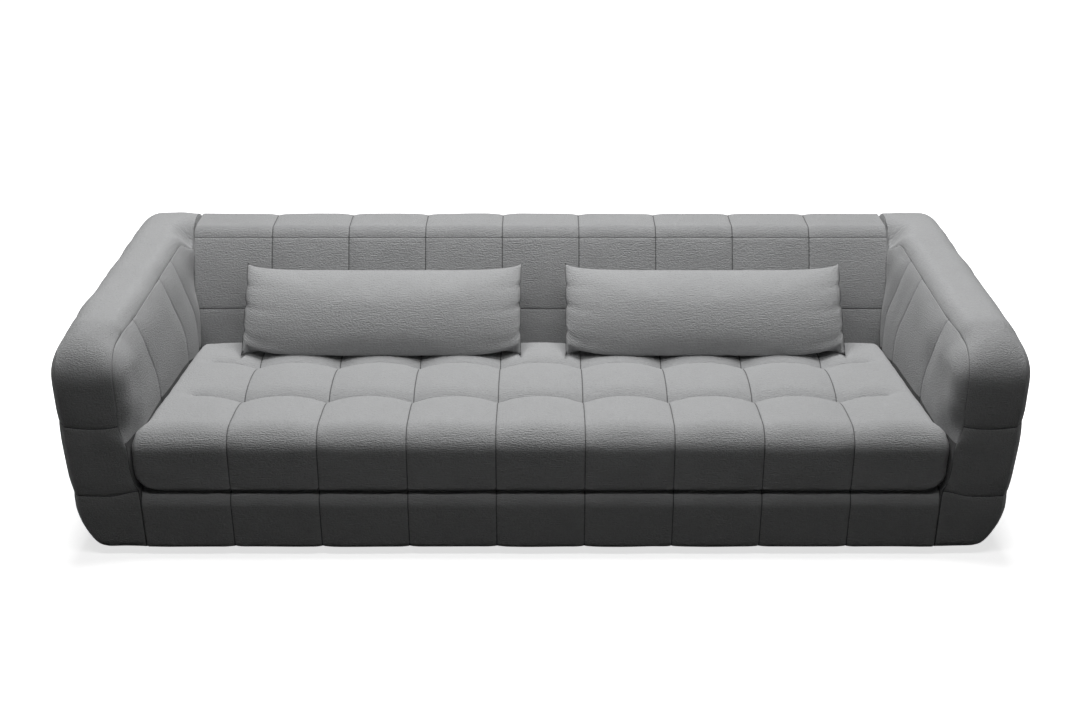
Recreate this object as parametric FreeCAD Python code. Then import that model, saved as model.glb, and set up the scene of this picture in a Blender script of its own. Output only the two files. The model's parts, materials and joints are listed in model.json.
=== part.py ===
import FreeCAD, Part
import math
import os

# Four-seater sofa, millimetres, front towards -Y, floor at z = 0.
# Three upholstered units (two arms and a back) are bolted round a seat box; one loose bench
# cushion lies on woven webbing and two loose lumbar pillows lean on the back.

# Overall layout
PANEL = 240                      # one square of the tufted grid
PANELS = 9                       # squares across the seat
HALF = PANEL * PANELS / 2        # half the clear width between the arms
ARM_THICK = 205
OUTER = HALF + ARM_THICK         # half the overall width
DEPTH = 1040
FRONT = -DEPTH / 2
REAR = DEPTH / 2
FOOT_HIGH = 25
FOOT_RADIUS = 27
UNDER = FOOT_HIGH                # underside of the covers
CLOTH = 2                        # thickness of a cover
EASE = 1                         # room between a cover and the foam in it
SOLE = UNDER + CLOTH             # underside of the timber

# Arms
ARM_TOP = 655
ARM_INNER_ROUND = 62
ARM_OUTER_ROUND = 80
ARM_FOOT_ROUND = 110
ARM_END_ROUND = 85               # front and rear of the top, seen from the side
ARM_FACE_ROUND = 32              # inner front edge, twice this outside
ARM_CORNER_ROUND = 110           # outer rear corner
ARM_FRAME_IN = HALF + 35
ARM_FRAME_OUT = HALF + 135
ARM_FRAME_FRONT = FRONT + 42
ARM_FRAME_REAR = REAR - 32
ARM_FRAME_DROP = 62              # foam over the arm frame
ARM_FRAME_ROUNDS = (50, 40)      # front and rear corner of its top
ARM_WINDOW_SETBACK = (75, 95)    # cut-out of the plates, from their front and rear edge
ARM_WINDOW_LEVELS = (190, 505)
ARM_WINDOW_ROUND = 50
ARM_POST = 30
ARM_POST_TOP = 555
ARM_RAIL_LEVELS = (565, 587)
ARM_BOLTS = ((-330, 110), (70, 110), (440, 300))
SILL_TOP = SOLE + 30
SILL_OUT = HALF + 92
PLY = 12
FOOT_X = HALF + 65
FOOT_Y = (-430, 430)
CENTRE_FEET = (-400, 120)

# Back
BACK_TOP = 648
BACK_FOOT = 195                  # front of the back unit, against the seat box
BACK_LEDGE = 180                 # height at which the padded face starts
BACK_FACE = 201                  # padded face at that height
BACK_SLOPE = math.tan(math.radians(17.3))
BACK_PAD = 46                    # foam in front of the ribs, measured level
BACK_FRAME_TOP = 585
BACK_FRAME_REAR = REAR - 15
BACK_ROUNDS = (58, 95, 14)       # front top, rear top and rear bottom edge
BACK_PANEL = 3                   # hardboard behind the ribs
BACK_PANEL_UNDER = 40
BACK_STRAPS = (250, 350, 450)
BACK_LOWER_RAIL = 85             # its underside
BACK_SOLE_TOP = 120
BACK_TOP_RAIL_DEEP = 65
BACK_REAR_RAIL_DEEP = 75
RIB = 25
RIB_WINDOW = ((302, 225), (455, 225), (455, 490), (388, 490))
RIB_WINDOW_ROUND = 25

# Seat box and deck
BASE_TOP = 205
BASE_ROUND = 28
RAIL = 25
RAIL_FRONT = FRONT + 30
BOX_FRONT = RAIL_FRONT + RAIL
BOX_REAR = BACK_FOOT - RAIL
BOARD = 25                       # cross boards at a quarter of the width, a thicker beam between them
BOARD_X = 525
BEAM = 45
BOARD_LEVELS = (182, 150)        # front and rear shoulder
SCOOP = 115
SHOULDER = 45
SCOOP_RUN = 35
SCOOP_ROUNDS = (20, 30)
GLUE_BLOCK = 70
GLUE_BLOCK_LEVELS = (50, 135)
RAKE = 2.86                      # the deck falls towards the back, degrees
DECK_PIVOT = 207
DECK = 192                       # top of the rails, before raking
STRAP_WIDE = 60
STRAP_THICK = 2
WEAVE = 1.2                      # how far a strap swerves over or under
LONG_STRAPS = 12
LONG_STEP = 175
CROSS_STRAPS = 3
PAD_TOP = 209

# Seat cushion, before raking
SEAT_UNDER = 211
SEAT_THICK = 163
SEAT_HALF = HALF - 6
SEAT_REAR = 194
SEAT_FALL = 30                   # drop of the last row of squares towards the back
SEAT_LEAN = math.tan(math.radians(14.4))
SEAT_ROUND = 40
SEAT_FRONT_ROUND = 62
TUFT_ROWS = (FRONT + 271, FRONT + 511)
WINDOW_SIDE = 90                 # underside cloth, set in from the ends, the front and the rear
WINDOW_FRONT = 95
WINDOW_REAR = 80
PATCH = 34
PATCH_THICK = 3
TAPE = (8, 2)
TUFT_EASE = 1                    # room round patches and tapes
TUFT_HIGH = 116                  # top of the tuft tapes above the underside

# Pillows
PILLOW_WIDE = 840
PILLOW_HIGH = 285
PILLOW_THICK = 180
PILLOW_CLOTH = 3                 # room for the panels at the seams
PILLOW_ROOM = 1                  # between the panels and the filling
PILLOW_END = 2.1                 # bow of the short ends against the thickness
PILLOW_LEAN = 40                 # degrees off upright
PILLOW_MIDDLES = {"left_pillow": -478, "right_pillow": 494}
PILLOW_Y = 172
PILLOW_Z = 446

# Fixings
BOLT = 4
BOLT_HOLE = 4.4
BOLT_SLEEVE = 6                  # hole in the cover
BOLT_ACROSS = 15
BOLT_HEAD = 5
BOLT_NUT = 7


def point(x, y, z):
    return FreeCAD.Vector(x, y, z)


def block(x0, x1, y0, y1, z0, z1):
    return Part.makeBox(x1 - x0, y1 - y0, z1 - z0, point(x0, y0, z0))


def corner_turn(before, here, after, radius):
    # start, middle and end of the tangent arc that rounds one corner of an outline
    back = (before - here).normalize()
    ahead = (after - here).normalize()
    half_angle = back.getAngle(ahead) / 2
    reach = radius / math.tan(half_angle)
    inward = (back + ahead).normalize()
    middle = here + inward * (radius / math.sin(half_angle) - radius)
    return [here + back * reach, middle, here + ahead * reach]


def rounded_wire(corners, place, bevelled):
    # a closed outline through corners (a, b, radius); bevelled cuts each round as two flats
    flat = [FreeCAD.Vector(a, b, 0) for a, b, radius in corners]
    turns = []
    for i, here in enumerate(flat):
        radius = corners[i][2]
        if radius > 0:
            turns.append(corner_turn(flat[i - 1], here, flat[(i + 1) % len(flat)], radius))
        else:
            turns.append([here])
    placed = [[place(p.x, p.y) for p in turn] for turn in turns]
    edges = []
    for i, turn in enumerate(placed):
        if len(turn) > 1 and bevelled:
            edges.append(Part.makeLine(turn[0], turn[1]))
            edges.append(Part.makeLine(turn[1], turn[2]))
        elif len(turn) > 1:
            edges.append(Part.Arc(*turn).toShape())
        edges.append(Part.makeLine(turn[-1], placed[(i + 1) % len(placed)][0]))
    return Part.Wire(edges)


def side_prism(corners, x0, x1, bevelled=False):
    # an outline in the y-z plane, drawn out from x0 to x1
    wire = rounded_wire(corners, lambda y, z: point(x0, y, z), bevelled)
    return Part.Face(wire).extrude(point(x1 - x0, 0, 0))


def plan_prism(corners, z0, z1, bevelled=False):
    wire = rounded_wire(corners, lambda x, y: point(x, y, z0), bevelled)
    return Part.Face(wire).extrude(point(0, 0, z1 - z0))


def front_prism(corners, y0, y1, bevelled=False):
    wire = rounded_wire(corners, lambda x, z: point(x, y0, z), bevelled)
    return Part.Face(wire).extrude(point(0, y1 - y0, 0))


def sharp(pairs):
    return [(a, b, 0) for a, b in pairs]


def rod(x, y, z, direction, radius, length):
    return Part.makeCylinder(radius, length, point(x, y, z), direction)


def hexagon(x, y, z, across, length):
    # a six-sided head or nut on an axis along x
    corners = []
    for k in range(7):
        a = across / 2 * math.cos(k * math.pi / 3)
        b = across / 2 * math.sin(k * math.pi / 3)
        corners.append(point(x, y + a, z + b))
    return Part.Face(Part.makePolygon(corners)).extrude(point(length, 0, 0))


def raked(shape):
    turned = shape.copy()
    turned.rotate(point(0, FRONT, DECK_PIVOT), point(1, 0, 0), -RAKE)
    return turned


def under_deck(shape):
    # trim a rail to the raked plane that the webbing lies on
    above = raked(block(-2000, 2000, FRONT - 200, REAR, DECK, DECK + 400))
    return shape.cut(above)


def mirrored(shape):
    return shape.mirror(point(0, 0, 0), point(1, 0, 0))


def both_sides(shapes):
    return shapes + [mirrored(s) for s in shapes]


def save(node, shapes):
    solid = shapes if hasattr(shapes, "ShapeType") else Part.makeCompound(shapes)
    solid.exportStep("parts/" + node + ".step")


def save_pair(name, shapes):
    # an arm piece is drawn on the right and mirrored to the left
    save("right_" + name, shapes)
    save("left_" + name, [mirrored(s) for s in shapes])


# Arms

def arm_form(inset, bevelled=False):
    # what the side, front and plan outlines have in common
    x0 = HALF + inset
    x1 = OUTER - inset
    y0 = FRONT + inset
    y1 = REAR - inset
    z0 = UNDER + inset
    z1 = ARM_TOP - inset
    low = BASE_ROUND - inset
    end = ARM_END_ROUND - inset
    side = side_prism([(y0, z0, low), (y1, z0, low), (y1, z1, end), (y0, z1, end)], x0 - 9, x1 + 9, bevelled)
    front = front_prism([
        (x0, z0, 0),
        (x1, z0, ARM_FOOT_ROUND - inset),
        (x1, z1, ARM_OUTER_ROUND - inset),
        (x0, z1, ARM_INNER_ROUND - inset),
    ], y0 - 9, y1 + 9, bevelled)
    plan = plan_prism([
        (x0, y0, ARM_FACE_ROUND - inset),
        (x1, y0, ARM_FACE_ROUND * 2 - inset),
        (x1, y1, ARM_CORNER_ROUND - inset),
        (x0, y1, 0),
    ], z0 - 9, z1 + 9, bevelled)
    return side.common(front).common(plan)


def arm_frame_outline(under):
    return [
        (ARM_FRAME_FRONT, under, 0),
        (ARM_FRAME_REAR, under, 0),
        (ARM_FRAME_REAR, ARM_TOP - ARM_FRAME_DROP, ARM_FRAME_ROUNDS[1]),
        (ARM_FRAME_FRONT, ARM_TOP - ARM_FRAME_DROP, ARM_FRAME_ROUNDS[0]),
    ]


def arm_plate(x0, x1, under):
    plate = side_prism(arm_frame_outline(under), x0, x1, True)
    front = ARM_FRAME_FRONT + ARM_WINDOW_SETBACK[0]
    rear = ARM_FRAME_REAR - ARM_WINDOW_SETBACK[1]
    low, high = ARM_WINDOW_LEVELS
    edge = ARM_WINDOW_ROUND
    window = [(front, low, edge), (rear, low, edge), (rear, high, edge), (front, high, edge)]
    return plate.cut(side_prism(window, x0 - 1, x1 + 1, True))


def arm_bolt_holes(radius):
    along = point(1, 0, 0)
    return [rod(HALF - 60, y, z, along, radius, 130) for y, z in ARM_BOLTS]


def make_arms():
    holes = arm_bolt_holes(BOLT_HOLE)
    inner_x = ARM_FRAME_IN + PLY
    outer_x = ARM_FRAME_OUT - PLY
    frame_space = side_prism(arm_frame_outline(SILL_TOP), ARM_FRAME_IN, ARM_FRAME_OUT)
    sill_space = block(ARM_FRAME_IN, SILL_OUT, ARM_FRAME_FRONT, ARM_FRAME_REAR, 0, SILL_TOP)
    foam = arm_form(CLOTH + EASE, True).cut(frame_space.fuse(sill_space))
    # no foam where the seat box and the back unit stand against the arm
    foam = foam.cut(block(HALF, ARM_FRAME_IN, ARM_FRAME_FRONT, REAR, 0, BASE_TOP - 10))
    foam = foam.cut(block(HALF, ARM_FRAME_IN, BACK_FACE + 160, REAR, 0, BACK_FRAME_TOP))
    cover = arm_form(0).cut(arm_form(CLOTH))
    slot = block(ARM_FRAME_IN + 7, SILL_OUT - 7, ARM_FRAME_FRONT + 8, ARM_FRAME_REAR - 8, 0, SOLE + 1)
    cover = cover.cut(slot)
    for hole in arm_bolt_holes(BOLT_SLEEVE):
        cover = cover.cut(hole)
    inner = arm_plate(ARM_FRAME_IN, inner_x, SOLE)
    for hole in holes:
        inner = inner.cut(hole)
    outer = arm_plate(outer_x, ARM_FRAME_OUT, SILL_TOP + 3)
    sill = block(inner_x, SILL_OUT, ARM_FRAME_FRONT + 2, ARM_FRAME_REAR - 2, SOLE, SILL_TOP)
    front_y = ARM_FRAME_FRONT + 2
    rear_y = ARM_FRAME_REAR - 2
    front_post = block(inner_x, outer_x, front_y, front_y + ARM_POST, SILL_TOP, ARM_POST_TOP)
    rear_post = block(inner_x, outer_x, rear_y - ARM_POST, rear_y, SILL_TOP, ARM_POST_TOP)
    top_rail = block(inner_x, outer_x, front_y + ARM_POST, rear_y - ARM_POST, *ARM_RAIL_LEVELS)
    save_pair("arm_inner_plate", [inner])
    save_pair("arm_outer_plate", [outer])
    save_pair("arm_sill", [sill])
    save_pair("arm_front_post", [front_post])
    save_pair("arm_rear_post", [rear_post])
    save_pair("arm_top_rail", [top_rail])
    save_pair("arm_foam", [foam])
    save_pair("arm_cover", [cover])


def hex_bolt(x, y, z, grip):
    # head, shank and nut of one bolt that clamps pieces together thick
    head = hexagon(x - BOLT_HEAD, y, z, BOLT_ACROSS, BOLT_HEAD)
    nut = hexagon(x + grip, y, z, BOLT_ACROSS, BOLT_NUT)
    return rod(x, y, z, point(1, 0, 0), BOLT, grip).fuse(head).fuse(nut)


def make_fixings():
    # each arm is bolted to the seat box and to the end rib of the back, from inside
    inside = HALF - RAIL
    grip = ARM_FRAME_IN + PLY - inside
    bolts = [hex_bolt(inside, y, z, grip) for y, z in ARM_BOLTS]
    save("arm_bolts", both_sides(bolts))


# Back

def back_line(z, forward=0):
    return BACK_FACE + BACK_PAD - forward + (z - BACK_LEDGE) * BACK_SLOPE


def back_form(inset, half, bevelled=False):
    lean = inset / math.cos(math.atan(BACK_SLOPE))
    face_top = BACK_FACE + lean + (BACK_TOP - inset - BACK_LEDGE) * BACK_SLOPE
    corners = [
        (BACK_FACE + lean, UNDER + inset, 0),
        (BACK_FACE + lean, BACK_LEDGE, 0),
        (face_top, BACK_TOP - inset, BACK_ROUNDS[0] - inset),
        (REAR - inset, BACK_TOP - inset, BACK_ROUNDS[1] - inset),
        (REAR - inset, UNDER + inset, BACK_ROUNDS[2] - inset),
    ]
    return side_prism(corners, -half, half, bevelled)


def rib_outline():
    return sharp([
        (BACK_FOOT, SOLE),
        (BACK_FRAME_REAR, SOLE),
        (BACK_FRAME_REAR, BACK_FRAME_TOP),
        (back_line(BACK_FRAME_TOP), BACK_FRAME_TOP),
        (back_line(BACK_LEDGE), BACK_LEDGE),
        (BACK_FOOT, BACK_LEDGE),
    ])


def back_rails():
    inside = HALF - RIB
    rear_y = BACK_FRAME_REAR
    top = BACK_FRAME_TOP
    low = top - BACK_TOP_RAIL_DEEP
    slanted = sharp([
        (back_line(low), low),
        (back_line(low) + RAIL, low),
        (back_line(top) + RAIL, top),
        (back_line(top), top),
    ])
    return {
        "back_lower_rail": block(-inside, inside, BACK_FOOT, BACK_FOOT + RAIL, BACK_LOWER_RAIL, BACK_LEDGE),
        "back_sole_rail": block(-inside, inside, rear_y - RAIL, rear_y, BACK_PANEL_UNDER, BACK_SOLE_TOP),
        "back_rear_rail": block(-inside, inside, rear_y - RAIL, rear_y, top - BACK_REAR_RAIL_DEEP, top),
        "back_top_rail": side_prism(slanted, -inside, inside),
    }


def make_back():
    rails = back_rails()
    middle = side_prism(rib_outline(), -RIB / 2, RIB / 2)
    window = [(y, z, RIB_WINDOW_ROUND) for y, z in RIB_WINDOW]
    middle = middle.cut(side_prism(window, -RIB, RIB))
    for rail in rails.values():
        middle = middle.cut(rail)
    ribs = []
    for x in (-HALF / 2, 0, HALF / 2):
        rib = middle.copy()
        rib.translate(point(x, 0, 0))
        ribs.append(rib)
    end = side_prism(rib_outline(), HALF - RIB, HALF)
    for hole in arm_bolt_holes(BOLT_HOLE):
        end = end.cut(hole)
    save("back_middle_ribs", ribs)
    save("right_back_rib", [end])
    save("left_back_rib", [mirrored(end)])
    for name, rail in rails.items():
        save(name, [rail])
    panel_rear = BACK_FRAME_REAR + BACK_PANEL
    panel = block(-HALF + 1, HALF - 1, BACK_FRAME_REAR, panel_rear, BACK_PANEL_UNDER, BACK_FRAME_TOP)
    save("back_rear_panel", [panel])
    strap_room = STRAP_THICK + 0.1
    space = side_prism(sharp([
        (BACK_FOOT - 50, 0),
        (panel_rear, 0),
        (panel_rear, BACK_FRAME_TOP),
        (back_line(BACK_FRAME_TOP, strap_room), BACK_FRAME_TOP),
        (back_line(BACK_LEDGE, strap_room), BACK_LEDGE),
        (BACK_FOOT - 50, BACK_LEDGE),
    ]), -HALF - 50, HALF + 50)
    foam = back_form(CLOTH + EASE, HALF - 1, True).cut(space)
    cover = back_form(0, HALF - 0.5).cut(back_form(CLOTH, HALF + 5))
    cover = cover.cut(block(-HALF - 5, HALF + 5, BACK_FOOT - 50, REAR - 50, 0, BACK_LEDGE))
    save("back_foam", [foam])
    save("back_cover", [cover])


def make_back_webbing():
    # flat straps stapled across the fronts of the ribs
    lean = math.atan(BACK_SLOPE)
    straps = []
    half = STRAP_WIDE / 2
    for z in BACK_STRAPS:
        up = (half * math.sin(lean), half * math.cos(lean))
        out = (-STRAP_THICK * math.cos(lean), STRAP_THICK * math.sin(lean))
        y = back_line(z)
        low = (y - up[0], z - up[1])
        high = (y + up[0], z + up[1])
        outline = [low, high, (high[0] + out[0], high[1] + out[1]), (low[0] + out[0], low[1] + out[1])]
        straps.append(side_prism(sharp(outline), -HALF + 1, HALF - 1))
    save("back_webbing", straps)


# Seat box

def make_box():
    front = under_deck(block(-HALF, HALF, RAIL_FRONT, BOX_FRONT, SOLE, 230))
    rear = under_deck(block(-HALF, HALF, BOX_REAR, BACK_FOOT, SOLE, 230))
    side = under_deck(block(HALF - RAIL, HALF, BOX_FRONT, BOX_REAR, SOLE, 230))
    for hole in arm_bolt_holes(BOLT_HOLE):
        side = side.cut(hole)
    save("base_front_rail", [front])
    save("base_rear_rail", [rear])
    save("base_right_rail", [side])
    save("base_left_rail", [mirrored(side)])
    front_top, rear_top = BOARD_LEVELS
    upper, lower = SCOOP_ROUNDS
    reach = SHOULDER + SCOOP_RUN
    scooped = [
        (BOX_FRONT, SOLE, 0),
        (BOX_REAR, SOLE, 0),
        (BOX_REAR, rear_top, 0),
        (BOX_REAR - SHOULDER, rear_top, upper),
        (BOX_REAR - reach, SCOOP, lower),
        (BOX_FRONT + reach, SCOOP, lower),
        (BOX_FRONT + SHOULDER, front_top, upper),
        (BOX_FRONT, front_top, 0),
    ]
    boards = [side_prism(scooped, x - BOARD / 2, x + BOARD / 2) for x in (-BOARD_X, BOARD_X)]
    save("base_cross_boards", boards)
    save("base_centre_beam", [side_prism(scooped, -BEAM / 2, BEAM / 2)])
    save("base_corner_blocks", corner_blocks())


def corner_blocks():
    # three-cornered glue blocks where the rails meet
    blocks = []
    inside = HALF - RAIL
    low, high = GLUE_BLOCK_LEVELS
    for y, turn in ((BOX_FRONT, 1), (BOX_REAR, -1)):
        corners = [
            point(inside, y, low),
            point(inside - GLUE_BLOCK, y, low),
            point(inside, y + GLUE_BLOCK * turn, low),
        ]
        face = Part.Face(Part.makePolygon(corners + corners[:1]))
        blocks.append(face.extrude(point(0, 0, high - low)))
    return both_sides(blocks)


def strap_outline(start, end, crossings, first_over):
    # the edge view of a strap that swerves over one crossing strap and under the next
    middle = DECK + STRAP_THICK / 2
    line = [(start, middle)]
    over = first_over
    reach = STRAP_WIDE / 2 + 6
    line.append((start + RAIL + 2, middle))
    for place in crossings:
        high = middle + WEAVE if over else middle - WEAVE
        line.append((place - reach, high))
        line.append((place + reach, high))
        over = not over
    line.append((end - RAIL - 2, middle))
    line.append((end, middle))
    half = STRAP_THICK / 2
    top = [(a, b + half) for a, b in line]
    bottom = [(a, b - half) for a, b in reversed(line)]
    return top + bottom


def make_webbing():
    # twelve straps front to back, woven with three straps from side to side
    cross_y = [BOX_FRONT + (BOX_REAR - BOX_FRONT) * (k + 1) / (CROSS_STRAPS + 1) for k in range(CROSS_STRAPS)]
    long_x = [(k - (LONG_STRAPS - 1) / 2) * LONG_STEP for k in range(LONG_STRAPS)]
    half = STRAP_WIDE / 2
    long_straps = []
    for k, x in enumerate(long_x):
        outline = strap_outline(RAIL_FRONT + 3, BACK_FOOT, cross_y, k % 2 == 0)
        long_straps.append(raked(side_prism(sharp(outline), x - half, x + half)))
    cross_straps = []
    for k, y in enumerate(cross_y):
        outline = strap_outline(-HALF, HALF, long_x, k % 2 == 1)
        corners = [point(a, y - half, b) for a, b in outline]
        face = Part.Face(Part.makePolygon(corners + corners[:1]))
        cross_straps.append(raked(face.extrude(point(0, STRAP_WIDE, 0))))
    save("seat_long_webbing", long_straps)
    save("seat_cross_webbing", cross_straps)
    strap_top = DECK + STRAP_THICK + WEAVE
    wide = HALF - 1
    save("deck_felt", [raked(block(-wide, wide, BOX_FRONT + 2, BACK_FOOT - 1, strap_top, PAD_TOP))])
    save("deck_cloth", [raked(block(-wide, wide, BOX_FRONT + 2, BACK_FOOT - 1, PAD_TOP, PAD_TOP + 1.5))])


def base_form(inset, half, bevelled=False):
    corners = [
        (FRONT + inset, UNDER + inset, BASE_ROUND - inset),
        (BOX_FRONT, UNDER + inset, 0),
        (BOX_FRONT, BASE_TOP - inset, 0),
        (FRONT + inset, BASE_TOP - inset, BASE_ROUND - inset),
    ]
    return side_prism(corners, -half, half, bevelled)


def make_base_cover():
    half = HALF - 1
    rail_space = block(-HALF - 5, HALF + 5, RAIL_FRONT, BOX_FRONT + 10, 0, DECK + STRAP_THICK + 0.5)
    foam = base_form(CLOTH + EASE, half, True).cut(rail_space)
    inner = base_form(CLOTH, HALF + 5)
    cover = base_form(0, half).cut(inner)
    cover = cover.cut(block(-HALF - 5, HALF + 5, BOX_FRONT - 1, BOX_FRONT + 5, SOLE - 0.5, BASE_TOP - CLOTH))
    save("base_foam", [foam])
    save("base_cover", [cover])
    save("dust_cover", [block(-half, half, BOX_FRONT + 1, REAR - 52, UNDER, SOLE)])


def foot(x, y):
    return Part.makeCylinder(FOOT_RADIUS, FOOT_HIGH, point(x, y, 0))


def make_feet():
    save("right_feet", [foot(FOOT_X, y) for y in FOOT_Y])
    save("left_feet", [foot(-FOOT_X, y) for y in FOOT_Y])
    save("centre_feet", [foot(0, y) for y in CENTRE_FEET])


# Seat cushion

def seat_form(inset, under_inset, bevelled=False):
    z0 = SEAT_UNDER + under_inset
    z1 = SEAT_UNDER + SEAT_THICK - inset
    y0 = FRONT + inset
    half = SEAT_HALF - inset
    lean = inset / math.cos(math.atan(SEAT_LEAN))
    rear_low = SEAT_REAR - lean + under_inset * SEAT_LEAN
    rear_high = SEAT_REAR - lean + (SEAT_THICK - SEAT_FALL - inset) * SEAT_LEAN
    edge = SEAT_ROUND - inset
    low = SEAT_ROUND - under_inset
    side = side_prism([
        (y0, z0, low),
        (rear_low, z0, low),
        (rear_high, z1 - SEAT_FALL, edge),
        (TUFT_ROWS[1], z1, 0),
        (y0, z1, SEAT_FRONT_ROUND - inset),
    ], -HALF, HALF, bevelled)
    front_line = [(-half, z0, low), (half, z0, low), (half, z1, edge), (-half, z1, edge)]
    front = front_prism(front_line, y0 - 9, REAR, bevelled)
    plan_line = [(-half, y0, edge), (half, y0, edge), (half, REAR, 0), (-half, REAR, 0)]
    plan = plan_prism(plan_line, z0 - 9, z1 + 9, bevelled)
    return side.common(front).common(plan)


def tuft_points():
    return [((k - (PANELS - 2) / 2) * PANEL, y) for y in TUFT_ROWS for k in range(PANELS - 1)]


def standing(x, y, wide, deep, z0, z1):
    return block(x - wide / 2, x + wide / 2, y - deep / 2, y + deep / 2, z0, z1)


def make_seat():
    side = SEAT_HALF - WINDOW_SIDE
    front = FRONT + WINDOW_FRONT
    rear = SEAT_REAR - WINDOW_REAR
    floor = SEAT_UNDER + CLOTH
    window = block(-side, side, front, rear, SEAT_UNDER - CLOTH, floor)
    cover = seat_form(0, 0).cut(seat_form(CLOTH, CLOTH)).cut(window)
    under = block(-side, side, front, rear, SEAT_UNDER, floor)
    core = seat_form(CLOTH + EASE, CLOTH, True)
    patch_top = floor + PATCH_THICK
    tape_top = SEAT_UNDER + TUFT_HIGH
    wide, deep = TAPE
    room = 2 * TUFT_EASE
    patches = []
    tapes = []
    for x, y in tuft_points():
        core = core.cut(standing(x, y, PATCH + room, PATCH + room, floor, patch_top))
        core = core.cut(standing(x, y, wide + room, deep + room, floor, tape_top))
        patches.append(raked(standing(x, y, PATCH, PATCH, floor, patch_top)))
        tapes.append(raked(standing(x, y, wide, deep, patch_top, tape_top)))
    save("seat_foam", [raked(core)])
    save("seat_cover", [raked(cover)])
    save("seat_underside_cloth", [raked(under)])
    save("seat_tuft_patches", patches)
    save("seat_tuft_tapes", tapes)


# Pillows

def lens(wide, thick):
    # the lens between two equal arcs, wide along the first axis
    left = point(-wide / 2, 0, 0)
    right = point(wide / 2, 0, 0)
    front = Part.Arc(left, point(0, -thick / 2, 0), right).toShape()
    back = Part.Arc(right, point(0, thick / 2, 0), left).toShape()
    return Part.Face(Part.Wire([front, back]))


def pillow_form(wide, high, thick):
    # knife-edged: a bowed strip along the width, its ends closed by a second, deeper bow
    along = lens(high, thick)
    along.rotate(point(0, 0, 0), point(0, 1, 0), 90)
    along.translate(point(-wide / 2, 0, 0))
    strip = along.extrude(point(wide, 0, 0))
    ends = lens(wide, thick * PILLOW_END)
    ends.translate(point(0, 0, -high))
    return strip.common(ends.extrude(point(0, 0, 2 * high)))


def pillow_inside(inset):
    # the same form smaller, set in most at the pointed short ends
    return pillow_form(PILLOW_WIDE - 4 * inset, PILLOW_HIGH - 3 * inset, PILLOW_THICK - 2 * inset)


def make_pillows():
    filling = pillow_inside(PILLOW_CLOTH + PILLOW_ROOM)
    shell = pillow_inside(0).cut(pillow_inside(PILLOW_CLOTH))
    front_half = block(-PILLOW_WIDE, PILLOW_WIDE, -PILLOW_THICK, 0, -PILLOW_HIGH, PILLOW_HIGH)
    front = shell.common(front_half)
    back = shell.cut(front_half)
    for name, x in PILLOW_MIDDLES.items():
        for piece, shape in (("filling", filling), ("front_panel", front), ("back_panel", back)):
            placed = shape.copy()
            placed.rotate(point(0, 0, 0), point(1, 0, 0), -PILLOW_LEAN)
            placed.translate(point(x, PILLOW_Y, PILLOW_Z))
            save(name + "_" + piece, [placed])


os.makedirs("parts", exist_ok=True)
make_feet()
make_box()
make_webbing()
make_base_cover()
make_arms()
make_back()
make_back_webbing()
make_fixings()
make_seat()
make_pillows()
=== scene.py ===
import json
import math

import bpy
import numpy as np
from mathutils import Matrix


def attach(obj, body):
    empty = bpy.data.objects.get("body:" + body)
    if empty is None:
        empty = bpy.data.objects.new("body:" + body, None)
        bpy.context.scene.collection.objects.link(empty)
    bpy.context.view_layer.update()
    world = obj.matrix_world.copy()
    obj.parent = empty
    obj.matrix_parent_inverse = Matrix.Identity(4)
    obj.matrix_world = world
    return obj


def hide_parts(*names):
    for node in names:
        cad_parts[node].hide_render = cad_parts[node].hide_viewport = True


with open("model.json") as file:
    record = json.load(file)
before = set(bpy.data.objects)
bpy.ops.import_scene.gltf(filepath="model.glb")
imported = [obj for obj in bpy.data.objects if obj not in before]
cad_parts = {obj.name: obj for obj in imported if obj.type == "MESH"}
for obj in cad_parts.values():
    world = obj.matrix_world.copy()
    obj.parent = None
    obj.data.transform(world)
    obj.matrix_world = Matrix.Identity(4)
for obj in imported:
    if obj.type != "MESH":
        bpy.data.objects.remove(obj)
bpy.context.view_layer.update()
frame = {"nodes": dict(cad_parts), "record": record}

panelWidth = 0.24
panelSeams = [(k - 3.5) * panelWidth for k in range(8)]  # the seams between the nine panels


def ramp(value, start, end):
    # 0 up to start, 1 from end on, an S curve between them
    t = np.clip((value - start) / (end - start), 0, 1)
    return t * t * (3 - 2 * t)


def bell(value, centre, width):
    # 1 at the centre and less on both sides: exp(-((value - centre) / width) ^ 2)
    return np.exp(-((value - centre) / width) ** 2)


def between(first, second, share):
    # first + (second - first) * share
    return first + (second - first) * share


def shortfall(height, radius):
    # how much a quarter circle on its foot falls short of its full width at a height, from 1 down to 0
    rise = np.clip(height / radius, 0, 1)
    return 1 - np.sqrt(1 - (1 - rise) ** 2)


def spread(stops, cell, squeeze):
    # positions from stop to stop, closer together at each stop: t - squeeze * sin(2 pi t) / (2 pi)
    parts = []
    for start, end in zip(stops, stops[1:]):
        count = max(3, round((end - start) / cell))
        t = np.arange(count) / count
        parts.append(start + (end - start) * (t - squeeze * np.sin(2 * np.pi * t) / (2 * np.pi)))
    return np.concatenate(parts + [[stops[-1]]])


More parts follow.
